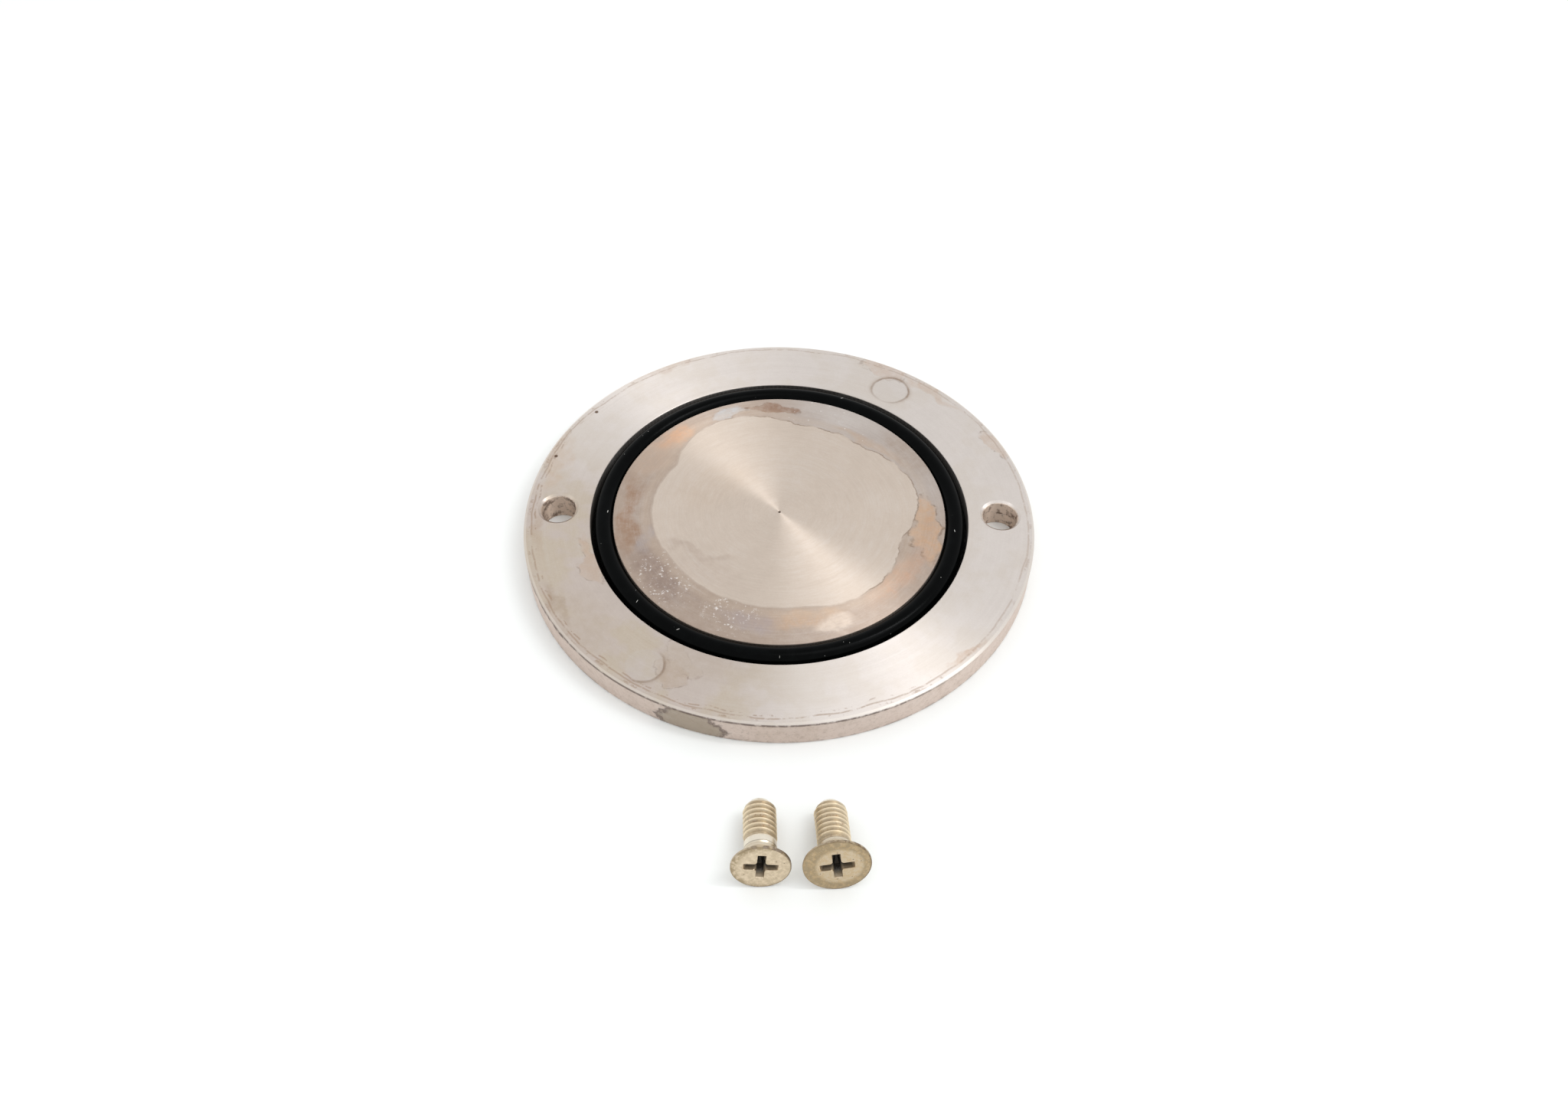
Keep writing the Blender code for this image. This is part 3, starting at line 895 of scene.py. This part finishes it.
@dataclass
class CoverPlate:
    """The turned plate: rim, sealing margin, O-ring groove, land and two holes."""

    box: tuple = field(default_factory=lambda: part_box("cover_plate"))
    rim_chamfer: Point = (0.34 * MM, 0.25 * MM)
    outer_edge_break: float = 0.20 * MM
    groove_inner: float = 22.9 * MM
    groove_outer: float = 26.0 * MM
    groove_depth: float = 2.25 * MM
    hole_centre: float = 30.5 * MM
    hole_radius: float = 2.4 * MM
    hole_chamfer: Point = (0.40 * MM, 0.30 * MM)
    hole_burr: float = 0.08 * MM
    centre_mark: Point = (0.26 * MM, 0.20 * MM)
    steps: int = 256
    hole_steps: int = 96

    @property
    def radius(self) -> float:
        """Return the plate's radius."""
        return self.box[1][0]

    @property
    def thickness(self) -> float:
        """Return the plate's thickness."""
        return self.box[1][2]

    def turned_blank(self) -> Workpiece:
        """Turn the plate from its outer face up to the mark at its centre."""
        top, soft = self.thickness, 0.07 * MM
        wide, high = self.rim_chamfer
        floor = top - self.groove_depth
        corners = (
            (0.0, 0.0, 0.0),
            (self.radius - self.outer_edge_break, 0.0, soft),
            (self.radius, self.outer_edge_break, soft),
            (self.radius, top - high, soft),
            (self.radius - wide, top, soft),
            (self.groove_outer, top, 1.6 * soft),
            (self.groove_outer, floor, soft),
            (self.groove_inner, floor, soft),
            (self.groove_inner, top, 1.9 * soft),
            (self.centre_mark[0], top, 0.5 * soft),
            (0.0, top - self.centre_mark[1], 0.0),
        )
        return Workpiece.drawn("turned_cover_plate", rounded(corners)).spun(self.steps)

    def hole_cutter(self, side: float) -> Workpiece:
        """Turn the tool that opens one screw hole and breaks both its edges."""
        wide, high = self.hole_chamfer
        top, past, soft = self.thickness, 0.5 * MM, 0.05 * MM
        spread = self.hole_radius + wide + past * wide / high
        corners = (
            (0.0, -past, 0.0),
            (self.hole_radius + past + self.hole_burr, -past, 0.0),
            (self.hole_radius, self.hole_burr, soft),
            (self.hole_radius, top - high, soft),
            (spread, top + past, 0.0),
            (0.0, top + past, 0.0),
        )
        cutter = Workpiece.drawn("hole_cutter", rounded(corners)).spun(self.hole_steps)
        return cutter.laid(Matrix.Translation((side * self.hole_centre, 0.0, 0.0)))

    def build(self) -> None:
        """Model the plate, dress it and hand it over."""
        plate = self.turned_blank()
        for side in (-1.0, 1.0):
            plate.combined(self.hole_cutter(side), "DIFFERENCE")
        finish = TurnedPlateFinish(
            self.radius, self.thickness, self.groove_inner, self.groove_outer,
            self.hole_centre, self.hole_radius)
        plate.shaded(32.0).delivered("plate", "plate_metal", finish.build(), ["cover_plate"])


@dataclass
class SealRing:
    """The O-ring, with the faint moulding line round its edge and its set from use."""

    box: tuple = field(default_factory=lambda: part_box("o_ring"))
    cord_radius: float = 1.31 * MM
    ring_radius: float = 24.25 * MM
    flash: float = 0.025 * MM
    set_depth: float = 0.03 * MM
    steps: int = 288
    cord_steps: int = 48

    def build(self) -> None:
        """Model the ring, dress it and hand it over."""
        ring_radius = self.ring_radius
        height = self.box[1][2] - self.cord_radius
        bpy.ops.object.select_all(action="DESELECT")
        bpy.ops.mesh.primitive_torus_add(
            major_radius=ring_radius, minor_radius=self.cord_radius,
            major_segments=self.steps, minor_segments=self.cord_steps,
            location=(0.0, 0.0, height))
        ring = Workpiece(bpy.context.active_object)
        ring.obj.name = ring.obj.data.name = "o_ring_rubber"
        bpy.ops.object.transform_apply(location=True, rotation=True, scale=True)
        bpy.ops.object.mode_set(mode="EDIT")
        ring.pick("edges", lambda edge: self.on_moulding_line(edge, ring_radius, height))
        bpy.ops.mesh.bevel(offset=0.05 * MM, segments=2, profile=0.9)
        ring.pick("verts", lambda vert: self.on_moulding_line_vert(vert, ring_radius, height))
        bpy.ops.transform.shrink_fatten(value=self.flash)
        ring.clean()
        bpy.ops.object.mode_set(mode="OBJECT")
        self.take_set(ring.obj.data, height)
        ring.shaded(60.0).delivered("seal", "rubber", RubberFinish().build(), ["o_ring"])

    def on_moulding_line(self, edge: bmesh.types.BMEdge, ring_radius: float,
                         height: float) -> bool:
        """Return whether an edge runs round the cord's outermost or innermost line."""
        return all(self.on_moulding_line_vert(vert, ring_radius, height) for vert in edge.verts)

    def on_moulding_line_vert(self, vert: bmesh.types.BMVert, ring_radius: float,
                              height: float) -> bool:
        """Return whether a vertex lies on the cord's outermost or innermost line."""
        away = abs(vert.co.xy.length - ring_radius)
        return abs(vert.co.z - height) < 0.01 * MM and away > 0.99 * self.cord_radius

    def take_set(self, mesh: bpy.types.Mesh, height: float) -> None:
        """Let the crest sag a little here and there, as a used ring does."""
        for vert in mesh.vertices:
            turn = math.atan2(vert.co.y, vert.co.x)
            sag = 0.5 + 0.3 * math.sin(2.0 * turn + 0.7) + 0.2 * math.sin(5.0 * turn + 2.0)
            crest = max(0.0, (vert.co.z - height) / self.cord_radius)
            vert.co.z -= self.set_depth * sag * crest


@dataclass
class CountersunkScrew:
    """One loose M4 screw: cross-recessed head, cone, collar and rolled thread."""

    name: str
    node: str
    joint: str
    body: str
    head_radius: float
    cone_end: float
    neck_radius: float
    collar_start: float
    collar_end: float
    cross_turn: float
    cross_shift: Point
    dull_ring: float
    face_drop: float
    worn: Colour
    length: float = 9.15 * MM
    crest: float = 1.97 * MM
    root: float = 1.54 * MM
    pitch: float = 0.70 * MM
    head_rim: float = 0.40 * MM
    tip_radius: float = 1.26 * MM
    arm: Point = (2.0 * MM, 0.98 * MM)
    steps: int = 96

    def axis_pose(self) -> Matrix:
        """Return the pose that lays an upright screw along its joint's axis."""
        joint = next(j for j in frame["joints"] if j["name"] == self.joint)
        out = Vector(joint["axis"]).normalized()
        sideways = Vector((-out.y, out.x, 0.0)).normalized()
        turn = Matrix((sideways, out.cross(sideways), out)).transposed()
        return Matrix.Translation(joint["pos_m"]) @ turn.to_4x4()

    def blank(self) -> Workpiece:
        """Turn the head, neck and collar, with a stub for the thread to grow from."""
        soft = 0.05 * MM
        stub = 0.45 * MM
        corners = (
            (0.0, -self.collar_end - stub, 0.0),
            (self.root - 0.12 * MM, -self.collar_end - stub, 0.0),
            (self.crest - 0.05 * MM, -self.collar_end, 2.0 * soft),
            (self.crest - 0.05 * MM, -self.collar_start, 2.0 * soft),
            (self.neck_radius, -self.collar_start + 0.22 * MM, 2.0 * soft),
            (self.neck_radius, -self.cone_end, 2.0 * soft),
            (self.head_radius, -self.head_rim, soft),
            (self.head_radius, -0.02 * MM - self.face_drop, 1.2 * soft),
            (self.dull_ring, 0.0, 0.0),
            (self.dull_ring - 0.1 * MM, 0.0, 0.0),
            (0.0, 0.0, 0.0),
        )
        return Workpiece.drawn(self.name, rounded(corners, 3)).spun(self.steps)

    def threaded_rod(self) -> Workpiece:
        """Wind one pitch of the thread's profile into a rod and trim both its ends."""
        half, bend = self.pitch / 2.0, 0.05 * MM
        turns = math.ceil((self.length - self.collar_end) / self.pitch) + 4
        start = -self.collar_end + 2.0 * self.pitch
        profile = (
            (self.root, start + half, 0.0),
            (self.root, start + 0.88 * half, bend),
            (self.crest, start + 0.14 * half, bend),
            (self.crest, start - 0.14 * half, bend),
            (self.root, start - 0.88 * half, bend),
            (self.root, start - half, 0.0),
        )
        rod = Workpiece.drawn("threaded_rod", rounded(profile, 2))
        bpy.ops.object.mode_set(mode="OBJECT")
        rod.modified(
            "SCREW", axis="Z", screw_offset=-self.pitch, iterations=turns,
            steps=self.steps, render_steps=self.steps, use_merge_vertices=False)
        bpy.ops.object.mode_set(mode="EDIT")
        rod.clean()
        bpy.ops.mesh.select_all(action="DESELECT")
        bpy.ops.mesh.select_mode(type="EDGE")
        bpy.ops.mesh.select_non_manifold()
        bpy.ops.mesh.fill_holes(sides=0)
        rod.clean()
        bpy.ops.mesh.select_mode(type="VERT")
        bpy.ops.object.mode_set(mode="OBJECT")
        return rod.combined(self.thread_envelope(), "INTERSECT")

    def thread_envelope(self) -> Workpiece:
        """Turn the space that the thread may fill, tapered at both its ends."""
        wide = self.crest + 0.3 * MM
        run_out = 0.75 * MM
        corners = (
            (0.0, -self.length, 0.0),
            (self.tip_radius, -self.length, 0.15 * MM),
            (self.crest + 0.02 * MM, 1.00 * MM - self.length, 0.0),
            (wide, 1.40 * MM - self.length, 0.0),
            (wide, -self.collar_end - run_out, 0.0),
            (self.crest, -self.collar_end - 0.55 * MM, 0.0),
            (self.root - 0.05 * MM, -self.collar_end - 0.05 * MM, 0.0),
            (0.0, -self.collar_end - 0.05 * MM, 0.0),
        )
        return Workpiece.drawn("thread_envelope", rounded(corners)).spun(self.steps)

    def recess(self) -> Workpiece:
        """Draw the cross, sink it and narrow it towards its bottom."""
        reach, width = self.arm
        half, bend = width / 2.0, 0.34 * MM
        quarter = rounded((
            (half, -half, 0.0), (reach, -half, 0.04 * MM), (reach, half, 0.04 * MM),
            (half, half, bend), (half, reach, 0.0)), 5)[1:-1]
        outline = []
        for arm in range(4):
            turn = Matrix.Rotation(math.radians(90.0 * arm + self.cross_turn), 2)
            outline += [tuple(turn @ Vector(point)) for point in quarter]
        cutter = Workpiece.drawn(self.name + "_recess", outline + outline[:1], level=True)
        bpy.ops.mesh.select_all(action="SELECT")
        bpy.ops.mesh.remove_doubles(threshold=WELD)
        bpy.ops.mesh.edge_face_add()
        bpy.ops.transform.translate(value=(*self.cross_shift, 0.3 * MM))
        for sink, scale in ((0.3, 1.0), (0.08, 0.955), (1.45, 0.62), (0.37, 0.25)):
            bpy.ops.mesh.extrude_region_move(
                TRANSFORM_OT_translate={"value": (0.0, 0.0, -sink * MM)})
            bpy.ops.transform.resize(
                value=(scale, scale, 1.0), center_override=(*self.cross_shift, 0.0))
        cutter.clean()
        bpy.ops.object.mode_set(mode="OBJECT")
        return cutter

    def build(self) -> None:
        """Model the screw, lay it down, dress it and hand it over."""
        pose = self.axis_pose()
        screw = self.blank()
        screw.combined(self.recess(), "DIFFERENCE")
        screw.combined(self.threaded_rod(), "UNION")
        screw.shaded(35.0).laid(pose)
        finish = ScrewFinish(
            pose.translation, tuple(pose.to_euler()), self.crest, self.root,
            self.collar_end, self.head_radius, self.dull_ring, self.length,
            self.worn, (self.cone_end + self.collar_start) / 2.0)
        screw.delivered(self.body, "screw_metal", finish.build(self.name), [self.node])


# --------------------------------------------------------------------------
# Studio
# --------------------------------------------------------------------------

@dataclass
class Studio:
    """A white sheet, a soft key light from the right and the camera."""

    camera_at: tuple = (0.88 * MM, -122.55 * MM, 137.06 * MM)
    aimed_at: tuple = (0.74 * MM, -8.59 * MM, 4.10 * MM)
    roll: float = 0.87
    lens: float = 30.06
    sheet_radius: float = 1.5

    def aim(self, name: str, data: object, place: Sequence[float], target: Sequence[float],
            roll: float = 0.0) -> bpy.types.Object:
        """Place a light or a camera so that it looks at a target.

        Args:
            name: the object's name.
            data: the light or camera.
            place: where it stands.
            target: what it looks at.
            roll: its turn about its own view, in degrees.

        Returns:
            The object.
        """
        obj = bpy.data.objects.new(name, data)
        bpy.context.scene.collection.objects.link(obj)
        look = (Vector(target) - Vector(place)).to_track_quat("-Z", "Y").to_matrix()
        turn = look @ Matrix.Rotation(math.radians(roll), 3, "Z")
        obj.matrix_world = Matrix.Translation(place) @ turn.to_4x4()
        return obj

    def softbox(self, name: str, place: Sequence[float], size: Point, watts: float,
                colour: Colour) -> None:
        """Hang a soft rectangular light that faces the plate."""
        light = bpy.data.lights.new(name, "AREA")
        light.shape = "RECTANGLE"
        light.size, light.size_y = size
        light.energy = watts
        light.color = colour
        self.aim(name, light, place, (0.0, -0.01, 0.0))

    def build(self) -> None:
        """Lay the sheet, hang the lights and set up the camera."""
        bpy.ops.object.select_all(action="DESELECT")
        bpy.ops.mesh.primitive_circle_add(
            vertices=96, radius=self.sheet_radius, fill_type="NGON", location=(0.0, 0.0, 0.0))
        sheet = bpy.context.active_object
        sheet.name = "white_sheet"
        sheet.data.materials.append(PaperFinish().build())

        world = bpy.data.worlds.new("white_room")
        bpy.context.scene.world = world
        world.use_nodes = True
        background = world.node_tree.nodes["Background"]
        background.inputs["Color"].default_value = (0.97, 0.985, 1.0, 1.0)
        background.inputs["Strength"].default_value = 1.0
        self.softbox("key_light", (0.305, 0.0, 0.47), (0.05, 0.22), 0.46, (0.96, 0.98, 1.0))
        self.softbox("high_light", (0.22, -0.09, 0.52), (0.22, 0.42), 0.42, (0.96, 0.98, 1.0))

        camera = bpy.data.cameras.new("camera")
        camera.sensor_width = 36.0
        camera.lens = self.lens
        camera.clip_start = 0.01
        bpy.context.scene.camera = self.aim(
            "camera", camera, self.camera_at, self.aimed_at, self.roll)
        bpy.context.scene.view_settings.view_transform = "Standard"


def main() -> None:
    """Build the studio and every piece of the set."""
    logging.basicConfig(level=logging.INFO, format="%(message)s")
    Studio().build()
    CoverPlate().build()
    SealRing().build()
    CountersunkScrew(
        name="left_cover_screw", node="left_screw", joint="left_screw_turn", body="screw_left",
        head_radius=3.45 * MM, cone_end=1.95 * MM, neck_radius=1.80 * MM,
        collar_start=2.45 * MM, collar_end=3.35 * MM, cross_turn=-5.0,
        cross_shift=(0.0, 0.13 * MM), dull_ring=3.05 * MM, face_drop=0.03 * MM,
        worn=(0.77, 0.635, 0.465)).build()
    CountersunkScrew(
        name="right_cover_screw", node="right_screw", joint="right_screw_turn", body="screw_right",
        head_radius=3.90 * MM, cone_end=2.33 * MM, neck_radius=1.90 * MM,
        collar_start=2.60 * MM, collar_end=2.75 * MM, cross_turn=5.6,
        cross_shift=(0.0, 0.0), dull_ring=2.62 * MM, face_drop=0.10 * MM,
        worn=(0.52, 0.375, 0.205)).build()


if __name__ == "__main__":
    main()
